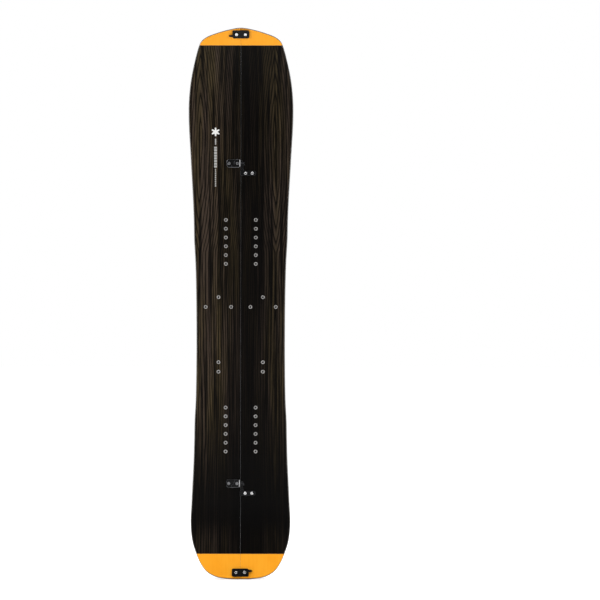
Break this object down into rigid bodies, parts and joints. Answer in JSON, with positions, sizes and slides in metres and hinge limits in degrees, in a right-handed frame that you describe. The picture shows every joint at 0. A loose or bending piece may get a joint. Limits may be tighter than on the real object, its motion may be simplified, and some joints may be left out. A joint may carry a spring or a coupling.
{
  "type": "splitboard",
  "caption": "Snowboard split lengthwise into two touring skis, with tip hooks, seam hooks, steel edges, a dark wood topsheet and threaded inserts.",
  "frame": {"origin": "on the seam, at mid length, on the running surface of the base; the rack that holds the board upright meets it there", "axes": "+Z along the board towards the nose, -Y out of the topsheet, +Y out of the base, +X to the right when the topsheet is seen with the nose up"},
  "size_m": [0.3026, 0.057, 1.591],
  "materials": {
    "ash_veneer": "dark stained bookmatched ash under a satin clear coat",
    "orange_plastic": "satin orange",
    "base_plastic": "waxed black sintered polyethylene",
    "glass_laminate": "glass fibre in clear resin",
    "core_wood": "bare laminated poplar",
    "tip_plastic": "matte black",
    "edge_steel": "ground steel",
    "sidewall_plastic": "milled black plastic",
    "insert_steel": "turned stainless steel",
    "clip_metal": "black anodised, satin",
    "screw_steel": "bright stainless steel"
  },
  "bodies": {
    "right_half": {"right_base": "base_plastic", "right_outer_edge": "edge_steel", "right_seam_edge": "edge_steel", "right_lower_laminate": "glass_laminate", "right_outer_sidewall": "sidewall_plastic", "right_seam_sidewall": "sidewall_plastic", "right_core": "core_wood", "right_nose_spacer": "tip_plastic", "right_tail_spacer": "tip_plastic", "right_upper_laminate": "glass_laminate", "right_topsheet": "ash_veneer", "right_nose_inlay": "orange_plastic", "right_tail_inlay": "orange_plastic", "right_front_binding_inserts": "insert_steel", "right_rear_binding_inserts": "insert_steel", "right_touring_inserts": "insert_steel", "right_heel_inserts": "insert_steel", "nose_hook_pad": "clip_metal", "nose_pivot_screw": "screw_steel", "tail_stud_pad": "clip_metal", "tail_stud_screw": "screw_steel", "front_catch": "clip_metal", "front_catch_screw_inner": "screw_steel", "front_catch_screw_outer": "screw_steel", "rear_catch": "clip_metal", "rear_catch_screw_inner": "screw_steel", "rear_catch_screw_outer": "screw_steel"},
    "left_half": {"left_base": "base_plastic", "left_outer_edge": "edge_steel", "left_seam_edge": "edge_steel", "left_lower_laminate": "glass_laminate", "left_outer_sidewall": "sidewall_plastic", "left_seam_sidewall": "sidewall_plastic", "left_core": "core_wood", "left_nose_spacer": "tip_plastic", "left_tail_spacer": "tip_plastic", "left_upper_laminate": "glass_laminate", "left_topsheet": "ash_veneer", "left_nose_inlay": "orange_plastic", "left_tail_inlay": "orange_plastic", "left_front_binding_inserts": "insert_steel", "left_rear_binding_inserts": "insert_steel", "left_touring_inserts": "insert_steel", "left_heel_inserts": "insert_steel", "nose_stud_pad": "clip_metal", "nose_stud_screw": "screw_steel", "tail_hook_pad": "clip_metal", "tail_pivot_screw": "screw_steel", "front_hook_bed": "clip_metal", "front_pivot_screw": "screw_steel", "front_bed_screw": "screw_steel", "rear_hook_bed": "clip_metal", "rear_pivot_screw": "screw_steel", "rear_bed_screw": "screw_steel"},
    "nose_hook": {"nose_hook": "clip_metal"},
    "tail_hook": {"tail_hook": "clip_metal"},
    "front_hook": {"front_hook": "clip_metal"},
    "rear_hook": {"rear_hook": "clip_metal"}
  },
  "joints": [
    {"name": "halves_apart", "type": "slide", "parent": "right_half", "child": "left_half", "axis": [-0.342, 0, 0.9397], "range_m": [0, 0.16]},
    {"name": "nose_hook_turn", "type": "hinge", "parent": "right_half", "child": "nose_hook", "pos_m": [0.0127, -0.04834, 0.77693], "axis": [0, -0.946, -0.3243], "range_deg": [0, 90]},
    {"name": "tail_hook_turn", "type": "hinge", "parent": "left_half", "child": "tail_hook", "pos_m": [-0.0127, -0.03685, -0.77805], "axis": [0, -0.9537, 0.3007], "range_deg": [0, 90]},
    {"name": "front_hook_turn", "type": "hinge", "parent": "left_half", "child": "front_hook", "pos_m": [-0.0101, -0.00767, 0.4047], "axis": [0, -0.9999, 0.0103], "range_deg": [0, 90]},
    {"name": "rear_hook_turn", "type": "hinge", "parent": "left_half", "child": "rear_hook", "pos_m": [-0.0101, -0.00761, -0.5207], "axis": [0, -0.9998, -0.019], "range_deg": [0, 90]}
  ]
}
